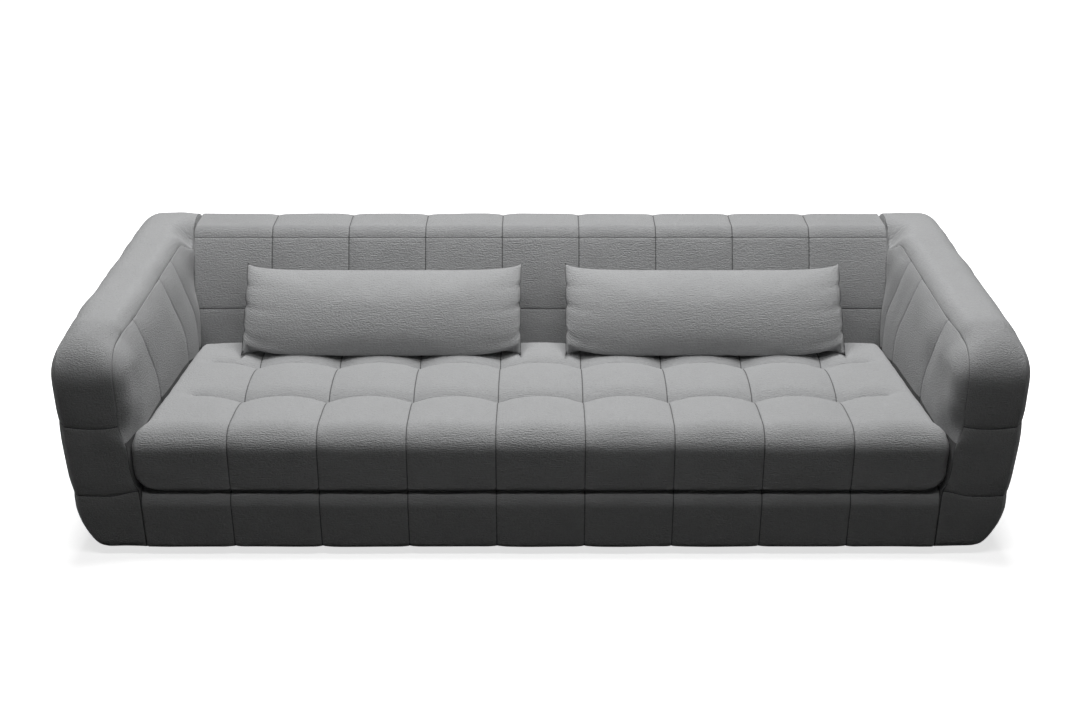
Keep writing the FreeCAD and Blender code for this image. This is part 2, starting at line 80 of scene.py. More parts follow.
def shell(xs, ys, zs):
    # the skin of a box of grid points: its points, the quads of its six sides, a UV in metres per quad corner
    size = (len(xs), len(ys), len(zs))
    i, j, k = np.indices(size)
    skin = (i == 0) | (i == size[0] - 1) | (j == 0) | (j == size[1] - 1) | (k == 0) | (k == size[2] - 1)
    number = np.full(size, -1)
    number[skin] = np.arange(skin.sum())
    points = np.stack([xs[i[skin]], ys[j[skin]], zs[k[skin]]], 1)
    quads, uv = [], []
    for axis in range(3):
        for end in (0, -1):
            grid = np.take(number, end, axis)
            side = np.stack([grid[:-1, :-1], grid[1:, :-1], grid[1:, 1:], grid[:-1, 1:]], -1).reshape(-1, 4)
            side = side[:, ::-1] if (end == 0) != (axis == 1) else side
            x, y, z = points[side].reshape(-1, 3).T
            across = y if axis == 0 else x
            along = z
            if axis == 1:
                along = ys[0] - zs[-1] + z if end == 0 else ys[-1] + zs[-1] - z
            if axis == 2:
                along = y if end == -1 else 2 * ys[0] - zs[-1] + zs[0] - y
            quads.append(side)
            uv.append(np.stack([across, along], 1))
    return points, np.concatenate(quads), np.concatenate(uv)


def gridBox(settings, *stops):
    # the skin of a piece's box, with its grid laid out between the stops along x, y and z
    return shell(*(spread(*axis) for axis in zip(stops, settings["cells"], settings["squeeze"])))


# the corner angles between which the rim goes from the end's depth to that of the top or bottom
rimTurn = (0.2, 1.37)


def slab(points, low, high, corners, across, deep, strip=1.0):
    # a box skin made soft: its side outline gets four round corners, nested so that points inside it follow,
    # and an elliptic rim joins the outline strip to both faces; corners is [front, rear] x [bottom, top];
    # strip is how much of the rim's depth stays on the strip up the ends
    x, y, z = points.T
    ahead, behind, above, below = y - low[1], high[1] - y, z - low[2], high[2] - z
    if corners[0][0] == 0:
        above = np.full_like(z, np.inf)  # the bottom edge is left alone
    rear, upper = ahead > behind, above > below
    end, level = np.minimum(ahead, behind), np.minimum(above, below)
    depth, onEnd = np.minimum(end, level), end < level
    leg = np.where(onEnd, level, end)
    radius = np.asarray(corners)[rear.astype(int), upper.astype(int)]
    bent = leg < radius
    share = np.clip((leg - depth) / np.maximum(radius - depth, 1e-6), 0, 1)
    angle = np.pi / 4 * np.where(onEnd, 1 - share, 1 + share)
    tilt = np.where(bent, ramp(angle, *rimTurn), np.where(onEnd, 0.0, 1.0))
    endRim = np.where(rear, deep["rear"], deep["front"])
    rimDeep = between(endRim, np.where(upper, deep["top"], deep["bottom"]), tilt)
    nearLow = x < (low[0] + high[0]) / 2
    face = np.where(nearLow, x - low[0], high[0] - x)
    stepAcross = np.minimum(face / across, 1) - 1
    stepDeep = np.minimum(depth / rimDeep, 1) - 1
    length = np.maximum(np.hypot(stepAcross, stepDeep), 1)
    drawn, half = 1 + stepDeep / length, 1 - math.sqrt(0.5)
    keep = between(strip, 1, tilt)
    drawn = np.where(stepDeep <= stepAcross, drawn * keep, 1 - (1 - drawn) * (1 - half * keep) / (1 - half))
    moved = rimDeep * drawn + np.maximum(depth - rimDeep, 0)
    face = across * (1 + stepAcross / length) + np.maximum(face - across, 0)
    inside = radius - moved
    end = np.where(bent, radius - inside * np.cos(angle), np.where(onEnd, moved, end))
    level = np.where(bent, radius - inside * np.sin(angle), np.where(onEnd, level, moved))
    return np.stack([np.where(nearLow, low[0] + face, high[0] - face),
                     np.where(rear, high[1] - end, low[1] + end),
                     np.where(upper, high[2] - level, low[2] + level)], 1)


def normals(points, quads):
    # the sum of the crossed diagonals of the quads round each point, made unit length
    a, b, c, d = points[quads].transpose(1, 0, 2)
    face = np.cross(c - a, d - b)
    total = np.zeros_like(points)
    for corner in range(4):
        np.add.at(total, quads[:, corner], face)
    return total / np.maximum(np.linalg.norm(total, axis=1, keepdims=True), 1e-12)


def nearest(points, marks, batch=4000):
    # straight distance from each point to the nearest mark, worked out batch by batch
    found = np.empty(len(points))
    squares = (marks ** 2).sum(1)
    for start in range(0, len(points), batch):
        part = points[start:start + batch]
        square = (part ** 2).sum(1)[:, None] + squares - 2 * part @ marks.T
        found[start:start + batch] = np.sqrt(np.maximum(square.min(1), 0))
    return found


def drift(points, scale, seed):
    # a smooth random field from -1 to 1: hashed values at the corners of a grid, blended with S curves
    where = points * scale + np.array([12.7, 45.3, 78.1]) * (seed + 1)
    cell = np.floor(where).astype(np.int64)
    t = where - cell
    t = t * t * (3 - 2 * t)
    total = np.zeros(len(points))
    for corner in range(8):
        bits = np.array([corner & 1, corner >> 1 & 1, corner >> 2 & 1])
        key = ((cell + bits) * np.array([73856093, 19349663, 83492791])).sum(1) ^ (seed * 2654435761)
        key = (key ^ (key >> 13)) * 1274126177 & 0xFFFFFFFF
        weight = np.where(bits, t, 1 - t).prod(1)
        total += weight * ((key ^ (key >> 16)) & 0xFFFF) / 32767.5
    return total - 1


sewing = {"grooveWidth": 0.003, "pullScale": 38, "pullReach": 0.03, "pullStart": 0.012,
          "waveScale": 8, "waveStart": 0.06, "waveSeed": 7}


def sewn(points, quads, seams, style, seed):
    # the skin drawn in along its seams: each group of seams digs depth * (1 - d / reach) ^ power, d the
    # distance to it, the groups add as squares; a narrow groove follows every seam, fainter by the last
    # number of its group, and small pulls fade away from it
    # the distance returned, plus each group's faintness, places the painted shade along the seams
    valley, closest = np.zeros(len(points)), np.full(len(points), 1.0)
    for mask, depth, reach, power, faint in seams:
        distance = nearest(points, points[mask])
        valley += (depth * (1 - np.clip(distance / reach, 0, 1)) ** power) ** 2
        closest = np.minimum(closest, distance + faint)
    groove = style["groove"] * bell(closest, 0, sewing["grooveWidth"])
    pull = style["pull"] * drift(points, sewing["pullScale"], seed)
    pull *= np.exp(-closest / sewing["pullReach"]) * ramp(closest, 0, sewing["pullStart"])
    wave = style["wave"] * drift(points, sewing["waveScale"], seed + sewing["waveSeed"])
    wave *= ramp(closest, 0, sewing["waveStart"])
    return points + normals(points, quads) * (pull + wave - np.sqrt(valley) - groove)[:, None], closest


def onAny(values, marks):
    # true where a value is one of the marks
    return np.min(np.abs(values[:, None] - np.array(marks)), 1) < 1e-6


def makePiece(name, body, replaced, points, quads, uv, seam):
    # a smooth mesh with its UV and each point's distance to a seam, which places painted shade, on its body
    # in place of the CAD's nodes
    mesh = bpy.data.meshes.new(name)
    mesh.from_pydata(points.tolist(), [], quads.tolist())
    mesh.uv_layers.new(name="cloth").data.foreach_set("uv", uv.astype(np.float32).ravel())
    mesh.attributes.new("seam", "FLOAT", "POINT").data.foreach_set("value", seam.astype(np.float32))
    mesh.polygons.foreach_set("use_smooth", np.ones(len(quads), bool))
    mesh.update()
    mesh.materials.append(fabric)
    piece = bpy.data.objects.new(name, mesh)
    bpy.context.scene.collection.objects.link(piece)
    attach(piece, body)
    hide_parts(*replaced)


def runCloth(name, points, quads, cloth):
    # Blender's cloth on a closed skin: air pressure inside, no gravity, nothing held
    mesh = bpy.data.meshes.new(name)
    mesh.from_pydata(points.tolist(), [], quads.tolist())
    item = bpy.data.objects.new(name, mesh)
    scene = bpy.context.scene
    scene.collection.objects.link(item)
    modifier = item.modifiers.new("cloth", "CLOTH")
    settings = modifier.settings
    settings.quality = cloth["quality"]
    settings.mass = cloth["mass"]
    settings.tension_stiffness = settings.compression_stiffness = cloth["stretch"]
    settings.shear_stiffness = cloth["shear"]
    settings.bending_stiffness = cloth["bend"]
    settings.air_damping = cloth["air"]
    settings.use_pressure = True
    settings.uniform_pressure_force = cloth["pressure"]
    settings.effector_weights.gravity = 0
    modifier.collision_settings.use_collision = False
    modifier.point_cache.frame_start = 1
    modifier.point_cache.frame_end = cloth["frames"]
    for step in range(1, cloth["frames"] + 1):
        scene.frame_set(step)
    shaped = item.evaluated_get(bpy.context.evaluated_depsgraph_get()).to_mesh()
    result = np.empty(len(points) * 3, np.float32)
    shaped.vertices.foreach_get("co", result)
    scene.frame_set(1)
    bpy.data.objects.remove(item)
    return result.reshape(-1, 3).astype(float)


class Wire:
    # a shader socket that can stand in sums: each operator adds one Math node
    def __init__(self, tree, socket=None):
        self.tree, self.socket = tree, socket

    def node(self, kind, settings=None, inputs=None, output=0):
        made = self.tree.nodes.new(kind)
        for key, value in (settings or {}).items():
            setattr(made, key, value)
        for key, value in (inputs or {}).items():
            if isinstance(value, Wire):
                self.tree.links.new(value.socket, made.inputs[key])
            else:
                made.inputs[key].default_value = value
        return Wire(self.tree, made.outputs[output])

    def math(self, operation, first, second):
        return self.node("ShaderNodeMath", {"operation": operation}, {0: first, 1: second})

    def into(self, socket):
        self.tree.links.new(self.socket, socket)

    def __add__(self, other):
        return self.math("ADD", self, other)

    def __sub__(self, other):
        return self.math("SUBTRACT", self, other)

    def __rsub__(self, other):
        return self.math("SUBTRACT", other, self)

    def __mul__(self, other):
        return self.math("MULTIPLY", self, other)

    __radd__ = __add__
    __rmul__ = __mul__


def startFinish(name):
    # a new material with its tree to wire and its shader
    material = bpy.data.materials.new(name)
    material.use_nodes = True
    tree = material.node_tree
    return material, Wire(tree), tree.nodes["Principled BSDF"]


def setInputs(shader, values):
    # constants on the shader's sockets
    for name, value in values.items():
        shader.inputs[name].default_value = value


def tint(wire, low, high, amount):
    # the colour between two ends by an amount from 0 to 1
    return wire.node("ShaderNodeMix", {"data_type": "RGBA"},
                     {0: amount, 6: (*low, 1), 7: (*high, 1)}, output=2)


def limited(wire, value, low, high):
    # 0 to 1 as the value goes from low to high, held at both ends
    return wire.node("ShaderNodeMapRange", {"clamp": True, "interpolation_type": "SMOOTHSTEP"},
                     {0: value, 1: low, 2: high, 3: 0.0, 4: 1.0})


# pattern sizes are repeats per metre across and along the cloth
upholstery = {"dark": (0.275, 0.277, 0.280), "light": (0.375, 0.378, 0.382),
              "slub": (34, 320), "speck": (150, 300), "slow": (5, 7), "yarn": (260, 620),
              "noise": {"Scale": 1.0, "Detail": 2.0, "Roughness": 0.6},
              "shadeShares": (0.8, 0.9, 0.25, 0.15), "shadeLess": 0.42,
              "heightShares": (0.4, 0.6, 0.1), "bump": 0.0042,
              # painted shade along seams and gaps: crease is how far the colour is darkened towards the next
              # colour, within the width
              "crease": 0.85, "seamShadeColour": (0.1, 0.1, 0.1, 1), "seamShadeWidth": (0.0002, 0.0026),
              "shader": {"Roughness": 0.92, "Specular IOR Level": 0.15, "Sheen Weight": 0.12,
                         "Sheen Roughness": 0.5}}


def chenille():
    # grey chenille: long slubs across the cloth, short yarn tufts, slow fading, and painted shade along seams
    # and gaps
    material, wire, shader = startFinish("greyChenille")
    cloth = wire.node("ShaderNodeUVMap", {"uv_map": "cloth"})

    def stretched(name):
        return wire.node("ShaderNodeMapping", {}, {"Vector": cloth, "Scale": (*upholstery[name], 1)})

    def noise(name):
        return wire.node("ShaderNodeTexNoise", {}, {"Vector": stretched(name), **upholstery["noise"]})

    slub, speck, slow = noise("slub"), noise("speck"), noise("slow")
    yarn = wire.node("ShaderNodeTexVoronoi", {"feature": "SMOOTH_F1"},
                     {"Vector": stretched("yarn"), "Scale": 1.0})
    # painted shade: near a seam or a marked gap the colour is multiplied towards near black
    seam = wire.node("ShaderNodeAttribute", {"attribute_name": "seam"}, output=2)
    apart = limited(wire, seam, *upholstery["seamShadeWidth"])
    slubShare, speckShare, slowShare, yarnShare = upholstery["shadeShares"]
    shade = slub * slubShare + speck * speckShare + slow * slowShare - yarn * yarnShare
    colour = tint(wire, upholstery["dark"], upholstery["light"], shade - upholstery["shadeLess"])
    amount = upholstery["crease"] * (1 - apart)
    seamShaded = wire.node("ShaderNodeMix", {"data_type": "RGBA", "blend_type": "MULTIPLY"},
                        {0: amount, 6: colour, 7: upholstery["seamShadeColour"]}, output=2)
    slubShare, speckShare, yarnShare = upholstery["heightShares"]
    height = slub * slubShare + speck * speckShare - yarn * yarnShare
    bump = wire.node("ShaderNodeBump", {},
                     {"Strength": 1.0, "Distance": upholstery["bump"], "Height": height})
    setInputs(shader, upholstery["shader"])
    seamShaded.into(shader.inputs["Base Color"])
    bump.into(shader.inputs["Normal"])
    return material


graining = {"noise": {"Scale": 1.0, "Detail": 5.0}, "range": (0.3, 0.7), "strength": 0.4}


def grained(name, dark, light, scale, rough, bumpDepth, metal=0.0):
    # a stretched noise in Object coordinates between two colours, with a bump of the same pattern
    material, wire, shader = startFinish(name)
    place = wire.node("ShaderNodeTexCoord", output=3)
    turned = wire.node("ShaderNodeMapping", {}, {"Vector": place, "Scale": scale})
    grain = wire.node("ShaderNodeTexNoise", {}, {"Vector": turned, **graining["noise"]})
    colour = tint(wire, dark, light, limited(wire, grain, *graining["range"]))
    bump = wire.node("ShaderNodeBump", {},
                     {"Strength": graining["strength"], "Distance": bumpDepth, "Height": grain})
    colour.into(shader.inputs["Base Color"])
    bump.into(shader.inputs["Normal"])
    setInputs(shader, {"Roughness": rough, "Metallic": metal})
    return material


fabric = chenille()
# per CAD material slot: name, dark and light colour, grain per metre, roughness, bump depth, metal
otherFinishes = {
    "timber": ("pineTimber", (0.42, 0.26, 0.12), (0.62, 0.43, 0.24), (6, 60, 60), 0.6, 0.0006),
    "plywood": ("birchPlywood", (0.50, 0.36, 0.20), (0.66, 0.50, 0.31), (40, 5, 40), 0.55, 0.0004),
    "hardboard": ("hardboard", (0.20, 0.12, 0.06), (0.30, 0.19, 0.10), (180, 180, 180), 0.7, 0.0003),
    "webbing": ("webbing", (0.16, 0.14, 0.12), (0.26, 0.23, 0.20), (300, 300, 300), 0.85, 0.0008),
    "felt": ("felt", (0.30, 0.30, 0.31), (0.44, 0.44, 0.45), (220, 220, 220), 0.95, 0.001),
    "lining": ("blackLining", (0.020, 0.020, 0.022), (0.045, 0.045, 0.048), (500, 500, 500), 0.9, 0.0005),
    "glide_plastic": ("glidePlastic", (0.012, 0.012, 0.012), (0.025, 0.025, 0.025), (90, 90, 90), 0.5,
                      0.0002),
    "steel": ("zincSteel", (0.50, 0.50, 0.49), (0.64, 0.64, 0.63), (120, 120, 120), 0.4, 0.0002, 1.0),
    "foam": ("foam", (0.62, 0.58, 0.44), (0.72, 0.68, 0.54), (400, 400, 400), 0.95, 0.0008),
    "pillow_filling": ("filling", (0.70, 0.70, 0.69), (0.82, 0.82, 0.81), (60, 60, 60), 0.95, 0.001),
    "upholstery": ("plainCloth", (0.20, 0.20, 0.21), (0.36, 0.36, 0.37), (300, 300, 300), 0.95, 0.0008),
}
slotFinishes = {slotName: grained(*values) for slotName, values in otherFinishes.items()}
slotNames = {part["node"]: part["material_slot"] for part in frame["record"]["subparts"]}
for name, item in frame["nodes"].items():
    item.data.materials.clear()
    item.data.materials.append(slotFinishes[slotNames[name]])
print("finishes made")


# in every piece's settings a seam is depth, reach, power and faintness, and squeeze is how much the grid
# closes up at its stops along x, y and z
# every seam is also painted shade: the cloth is darkened along it, less the greater its faintness
base = {"low": (-1.0812, -0.5195, 0.0205), "high": (1.0812, -0.44, 0.2015),
        "cells": (0.009, 0.008, 0.007), "squeeze": (0.72, 0, 0.3), "seed": 11, "fill": 0.8,
        "corners": ((0.018, 0.048), (0.01, 0.01)), "rim": 0.003, "endRim": 0.001,
        "seam": (0.0026, 0.035, 2.0, 0.0), "endSeam": (0, 0.05, 2, 0.0018),
        "groove": 0.0007, "pull": 0.0006, "wave": 0.0014}


def makeBase():
    # the front apron: a low box with nine panels across
    low, high = base["low"], base["high"]
    points, quads, uv = gridBox(base, [low[0], *panelSeams, high[0]], [low[1], high[1]],
                                [low[2], high[2]])
    x = points[:, 0]
    upright, ends = onAny(x, panelSeams), onAny(np.abs(x), [high[0]])
    rims = dict.fromkeys(("front", "rear", "top", "bottom"), base["rim"])
    points = slab(points, low, high, base["corners"], base["endRim"], rims)
    # painted shade: the end seam has no depth and only darkens the base's ends where they meet the arms
    seams = [(upright, *base["seam"]), (ends, *base["endSeam"])]
    points, seam = sewn(points, quads, seams, base, base["seed"])
    makePiece("base_front", "sofa_frame", ("base_cover", "base_foam"),
              points, quads, uv, seam)


back = {"low": (-1.086, 0.2045, 0.0255), "high": (1.086, 0.5185, 0.631),
        "cells": (0.009, 0.010, 0.010), "squeeze": (0.72, 0, 0.72), "seed": 23, "fill": 0.8,
        "corners": ((0.003, 0.034), (0.014, 0.055)), "endRim": 0.008,
        "rims": {"front": 0.006, "rear": 0.006, "top": 0.012, "bottom": 0.003},
        "ledge": 0.18, "slope": 0.3785, "bulge": (0.0272, 0.25, 0.64), "levels": (0.40, 0.605),
        "seam": (0.0042, 0.05, 2.0, 0.0), "levelSeam": (0.0009, 0.045, 2.0, 0.0),
        "groove": 0.0012, "pull": 0.0010, "wave": 0.0016}


def backFace(height):
    # how far back the face stands: a plain slope above a ledge, less a parabola that swells it
    most, start, end = back["bulge"]
    t = np.clip((height - start) / (end - start), 0, 1)
    return back["low"][1] + np.maximum(height - back["ledge"], 0) * back["slope"] - 4 * most * t * (1 - t)


def makeBack():
    # the back: a box whose front leans back with height and swells, nine panels across and two seams along
    low, high = back["low"], back["high"]
    lowLevel, highLevel = back["levels"]
    points, quads, uv = gridBox(back, [low[0], *panelSeams, high[0]], [low[1], high[1]],
                                [low[2], lowLevel, highLevel, high[2]])
    x, y, z = points.T
    front, rear, top = onAny(y, [low[1]]), onAny(y, [high[1]]), onAny(z, [high[2]])
    upright = onAny(x, panelSeams) & (front | rear | top)
    level = onAny(z, [lowLevel]) & (front | rear) | onAny(z, [highLevel]) & front
    points = slab(points, low, high, back["corners"], back["endRim"], back["rims"])
    py, pz = points[:, 1], points[:, 2]
    py += (backFace(pz) - low[1]) * (high[1] - py) / (high[1] - low[1])
    seams = [(upright, *back["seam"]), (level, *back["levelSeam"])]
    points, seam = sewn(points, quads, seams, back, back["seed"])
    makePiece("back_upholstery", "sofa_frame", ("back_cover", "back_foam"),
              points, quads, uv, seam)


# ranges are pairs of places between which something fades in or out
seat = {"low": (-1.082, -0.510, 0.2065), "high": (1.082, 0.194, 0.3775),
        "cells": (0.009, 0.009, 0.008), "squeeze": (0.72, 0.72, 0.3), "seed": 31, "fill": 0.7,
        "rows": (-0.249, -0.009), "rowEnd": 0.985, "corners": ((0.010, 0.066), (0.010, 0.09)),
        "rims": {"front": 0.014, "rear": 0.014, "top": 0.055, "bottom": 0.006},
        "endRim": (0.012, 0.040), "endRimRange": (-0.50, -0.42),
        "panelSeam": (0.0070, 0.060, 2.0, 0.0), "rowSeam": (0.0150, 0.052, 2.4), "rowFaint": 0.0018,
        "rowFaintRange": (0.01, 0.06), "endSeam": (0.0040, 0.03, 2.0, 0.0), "underSeam": (0, 0.05, 2, 0.0),
        "crown": 0.007, "crownPower": 0.8, "seamCrown": 0.35, "fall": 0.026, "lean": 0.257,
        "leanStart": 0.0, "tuft": 0.024, "tuftReach": 0.045, "tuftPower": 1.3,
        "sag": 0.007, "sagReach": 0.03, "sagTop": 0.5,
        "endRound": 0.05, "waist": 0.026, "waistRange": (-0.48, 0.02), "earOut": 0.013, "earReach": 0.035,
        "endPower": 14, "rake": math.radians(2.86), "turn": (-0.52, 0.207),
        "groove": 0.0014, "pull": 0.0012, "wave": 0.0020}


def makeSeat():
    # the long seat cushion: nine by three panels, tufted where two seam rows cross the panel seams
    low, high = seat["low"], seat["high"]
    stops = [low[1], *seat["rows"], high[1]]
    points, quads, uv = gridBox(seat, [low[0], *panelSeams, high[0]], stops, [low[2], high[2]])
    x, y, z = points.T
    top, under = onAny(z, [high[2]]), onAny(z, [low[2]])
    front, rear, ends = onAny(y, [low[1]]), onAny(y, [high[1]]), onAny(np.abs(x), [high[0]])
    upright = onAny(x, panelSeams) & (top | front | rear)
    row = onAny(y, seat["rows"]) & top & (np.abs(x) < seat["rowEnd"])
    endRim = between(*seat["endRim"], ramp(y, *seat["endRimRange"]))
    points = slab(points, low, high, seat["corners"], endRim, seat["rims"])
    px, py, pz = points.T
    # each panel is crowned, least on its seams
    midPanel = np.cos(np.pi * x / panelWidth) ** 2
    along = np.interp(y, stops, [0, 1, 2, 3]) % 1
    crown = between(seat["seamCrown"], 1, midPanel) * np.sin(np.pi * along) ** seat["crownPower"]
    pz += seat["crown"] * crown * top
    # the last row falls towards the back and leans with it
    lift = (pz - low[2]) / (high[2] - low[2])
    pz -= seat["fall"] * np.clip((py - stops[2]) / (stops[3] - stops[2]), 0, 1) * lift
    py += (pz - low[2]) * seat["lean"] * ramp(py, seat["leanStart"], high[1])
    toTuft = nearest(points, points[upright & row])
    rowFaint = seat["rowFaint"] * ramp(toTuft, *seat["rowFaintRange"])
    # painted shade: the under seam has no depth and only darkens the seat's bottom edges
    seams = [(upright, *seat["panelSeam"]), (row, *seat["rowSeam"], rowFaint),
             (under & (front | rear | ends), *seat["underSeam"]), (top & ends, *seat["endSeam"])]
    soft, seam = sewn(points, quads, seams, seat, seat["seed"])
    points = np.where(under[:, None], points, soft)
    px, py, pz = points.T
    pz -= seat["tuft"] * np.exp(-(toTuft / seat["tuftReach"]) ** seat["tuftPower"]) * top
    sagging = (1 - ramp(py, low[1], low[1] + seat["sagReach"])) * (1 - ramp(lift, 0, seat["sagTop"]))
    pz -= seat["sag"] * sagging
    # the ends stand out at the front corners, draw in behind them and round off at the foot
    spare = seat["earOut"] * bell(y, low[1], seat["earReach"]) - seat["waist"] * ramp(y, *seat["waistRange"])
    spare -= seat["endRound"] * shortfall(pz - low[2], seat["endRound"])
    px += spare * np.sign(x) * (np.abs(x) / high[0]) ** seat["endPower"]
    # the whole cushion turns about its lower front edge
    dy, dz = py - seat["turn"][0], pz - seat["turn"][1]
    py[:] = seat["turn"][0] + dy * math.cos(seat["rake"]) + dz * math.sin(seat["rake"])
    pz[:] = seat["turn"][1] - dy * math.sin(seat["rake"]) + dz * math.cos(seat["rake"])
    makePiece("seat_upholstery", "seat_cushion", ("seat_cover", "seat_foam", "seat_underside_cloth"),
              points, quads, uv, seam)


# mitre is the y and height where the rim meets the back, then where the arm's top is level again
arm = {"low": (1.081, -0.5195, 0.0205), "high": (1.2855, 0.5185, 0.6555),
       "cells": (0.0085, 0.0095, 0.009), "squeeze": (0.55, 0.72, 0.72), "fill": 0.8,
       "crossSeams": (-0.30, -0.01), "innerSeam": 0.13, "outerSeam": 0.27, "frontSeams": (0.188, 0.404),
       "rimSeam": (0.0042, 0.05, 2.0, 0.0), "rimSeamEnd": 0.36, "rimSeamFoot": 0.2,
       "edgeSeam": (0, 0.05, 2, 0.0005), "hemSeam": (0, 0.05, 2, 0.0018),
       "crossSeam": (0.0020, 0.05, 2.0, 0.0006), "faceSeam": (0.0036, 0.07, 2.0, 0.0007),
       "frontSeam": (0.0026, 0.05, 2.0, 0.0002),
       "corners": ((0, 0.145), (0, 0.10)), "rims": {"front": 0.055, "rear": 0.10, "bottom": 0.003},
       "topRim": 0.125, "innerRim": (0.060, 0.108), "innerRimRange": (-0.50, -0.25), "outerRim": 0.085,
       "tuckRange": (0.33, 0.42), "leastRim": 0.001, "leastTopRim": 0.004, "strip": 0.25,
       "mitre": (0.340, 0.577, 0.415, 0.653), "rimFade": 0.14, "pullFade": 0.12, "pullAcross": 0.33,
       "pullFoot": 0.30,
       "gap": (0.016, 0.203, 0.095), "gapTop": (0.36, 0.46), "gapRear": (-0.47, -0.42),
       "taper": 0.012, "taperRange": (0.08, 0.40),
       "swell": 0.017, "swellFoot": (0.19, 0.30), "swellTop": (0.38, 0.60), "swellFront": (-0.46, 0.02),
       "swellRear": (0.16, 0.30),
       "faceBend": 0.08, "faceBendTop": (0.36, 0.60), "faceBendFront": (-0.50, -0.3),
       "faceBendRear": (0.40, 0.1),
       "topBend": 0.018, "topBendFront": (-0.45, -0.30), "topBendRear": (0.40, 0.20),
       "frontBend": 0.010, "frontHook": 0.016, "frontHookAcross": 0.45, "frontBendReach": 0.06,
       "footRound": (0.10, 0.13), "foot": 0.022, "footEnd": 0.40,
       # painted shade on the inner wall: the seat's line, a gap before the back's face, and a stop below the
       # mitre
       "lining": 0.348, "shadeBeforeBack": 0.005, "shadeStopBelowMitre": 0.02,
       "groove": 0.0012, "pull": 0.0010, "wave": 0.0030}


